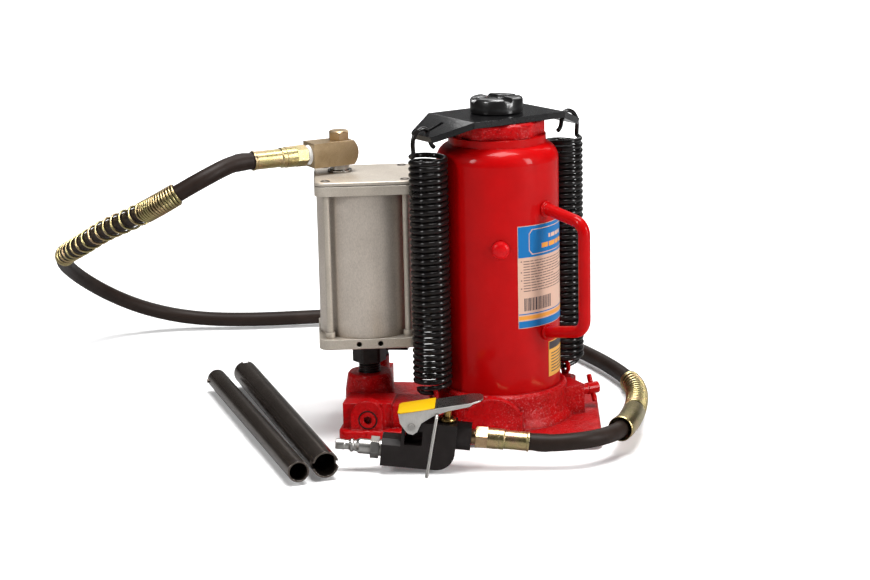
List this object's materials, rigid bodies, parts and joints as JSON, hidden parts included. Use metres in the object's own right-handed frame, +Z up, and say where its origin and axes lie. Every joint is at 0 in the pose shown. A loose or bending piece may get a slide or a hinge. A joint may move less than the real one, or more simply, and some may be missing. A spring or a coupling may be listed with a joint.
{
  "type": "bottle jack",
  "caption": "Air-over-hydraulic bottle jack with return springs, extension screw, air motor, hose with trigger valve and two-part handle.",
  "frame": {"origin": "ram axis where it meets the floor, on the underside of the base", "axes": "+Z up along the ram; +X along the base plate, away from the pumps; +Y to the back, away from the filler plug"},
  "size_m": [0.5211, 0.4806, 0.2623],
  "materials": {
    "red_cast": "gloss paint over a rough casting",
    "red_paint": "gloss paint",
    "black_paint": "gloss black",
    "black_steel": "black oxide",
    "bright_steel": "ground",
    "motor_metal": "satin",
    "zinc_gold": "yellow zinc plate",
    "dull_gold": "dull plated",
    "zinc_silver": "bright zinc plate",
    "brass": "machined",
    "hose_rubber": "matte",
    "seal_rubber": "matte",
    "red_rubber": "smooth, painted over",
    "white_tape": "matte",
    "valve_black": "satin black",
    "label_print": "printed film",
    "caution_print": "printed film"
  },
  "bodies": {
    "base": {"base_casting": "red_cast", "eye_bolts": "red_cast", "pump_plugs": "red_cast", "plug_orings": "seal_rubber", "check_balls": "bright_steel", "check_springs": "bright_steel", "reservoir_tube": "red_paint", "carry_handle": "red_paint", "front_label": "label_print", "caution_label": "caution_print", "cylinder_gasket": "seal_rubber", "hydraulic_cylinder": "bright_steel", "gland_sleeve": "bright_steel", "wiper_seal": "seal_rubber", "top_nut": "red_cast", "return_spring_right": "black_paint", "return_spring_left": "black_paint", "motor_bottom_plate": "motor_metal", "motor_top_plate": "motor_metal", "air_barrel": "motor_metal", "tie_rods": "motor_metal", "tie_rod_collars": "motor_metal", "motor_stem": "black_steel", "stem_nut": "black_steel", "air_return_spring": "bright_steel", "banjo_block": "dull_gold", "banjo_bolt": "dull_gold", "banjo_washers": "motor_metal", "thread_tape": "white_tape", "hose_fittings": "zinc_gold", "hose_ferrules": "zinc_gold", "air_hose": "hose_rubber", "hose_guard_left": "zinc_gold", "hose_guard_right": "zinc_gold", "valve_body": "valve_black", "lever_pin": "zinc_silver", "valve_spring": "bright_steel", "air_plug": "zinc_silver", "hand_pump_cylinder": "black_steel", "fulcrum_bracket": "black_paint", "fulcrum_pin": "zinc_silver"},
    "filler_stopper": {"filler_plug": "red_rubber"},
    "ram": {"ram": "bright_steel", "piston_seal": "seal_rubber", "spring_bracket": "black_paint"},
    "screw_carrier": {"screw_stop_ring": "black_steel"},
    "screw": {"extension_screw": "black_steel"},
    "air_piston": {"air_piston": "motor_metal", "air_piston_seal": "seal_rubber", "pump_rod": "bright_steel"},
    "valve_lever": {"valve_lever": "zinc_silver"},
    "lock_wire": {"lock_wire": "zinc_silver"},
    "valve_plunger": {"valve_plunger": "brass"},
    "release_valve": {"release_screw": "red_paint", "release_bar": "red_paint"},
    "hand_plunger": {"hand_plunger": "bright_steel"},
    "handle_socket": {"handle_socket": "black_paint", "plunger_pin": "bright_steel"},
    "thick_tube": {"thick_handle_tube": "black_paint"},
    "thin_tube": {"thin_handle_tube": "black_paint"}
  },
  "joints": [
    {"name": "ram_lift", "type": "slide", "parent": "base", "child": "ram", "axis": [0, 0, 1], "range_m": [0, 0.155], "deforming": ["return_spring_left", "return_spring_right"]},
    {"name": "screw_rise", "type": "slide", "parent": "ram", "child": "screw_carrier", "axis": [0, 0, 1], "range_m": [0, 0.08]},
    {"name": "screw_turn", "type": "hinge", "parent": "screw_carrier", "child": "screw", "pos_m": [0, 0, 0.2], "axis": [0, 0, 1], "range_deg": [0, 4800]},
    {"name": "filler_pull", "type": "slide", "parent": "base", "child": "filler_stopper", "axis": [0.1392, -0.9903, 0], "range_m": [0, 0.015]},
    {"name": "release_turn", "type": "hinge", "parent": "base", "child": "release_valve", "pos_m": [0.0693, 0.0185, 0.024], "axis": [0.829, 0.5592, 0], "range_deg": [0, 360]},
    {"name": "air_stroke", "type": "slide", "parent": "base", "child": "air_piston", "axis": [0, 0, -1], "range_m": [0, 0.025], "deforming": ["air_return_spring"]},
    {"name": "lever_press", "type": "hinge", "parent": "base", "child": "valve_lever", "pos_m": [-0.05348, -0.11461, 0.03421], "axis": [-0.0955, 0.9953, -0.0139], "range_deg": [0, 8]},
    {"name": "plunger_push", "type": "slide", "parent": "base", "child": "valve_plunger", "axis": [-0.101, -0.0236, -0.9946], "range_m": [0, 0.0037], "deforming": ["valve_spring"]},
    {"name": "lock_swing", "type": "hinge", "parent": "valve_lever", "child": "lock_wire", "pos_m": [-0.03464, -0.11268, 0.04287], "axis": [-0.0955, 0.9953, -0.0139], "range_deg": [0, 60]},
    {"name": "socket_pump", "type": "hinge", "parent": "base", "child": "handle_socket", "pos_m": [-0.0871, 0.056, 0.084], "axis": [0, -1, 0], "range_deg": [0, 50]},
    {"name": "plunger_pump", "type": "slide", "parent": "base", "child": "hand_plunger", "axis": [0, 0, -1], "range_m": [0, 0.0203]},
    {"name": "thick_tube_lift", "type": "slide", "parent": "base", "child": "thick_tube", "axis": [0, 0, 1], "range_m": [0, 0.1]},
    {"name": "thin_tube_lift", "type": "slide", "parent": "base", "child": "thin_tube", "axis": [0, 0, 1], "range_m": [0, 0.1]}
  ],
  "couplings": [
    {"joint": "screw_rise", "follows": "screw_turn", "m_per_rad": 0.00095492},
    {"joint": "plunger_push", "follows": "lever_press", "m_per_rad": 0.0257},
    {"joint": "plunger_pump", "follows": "socket_pump", "m_per_rad": 0.0232}
  ]
}
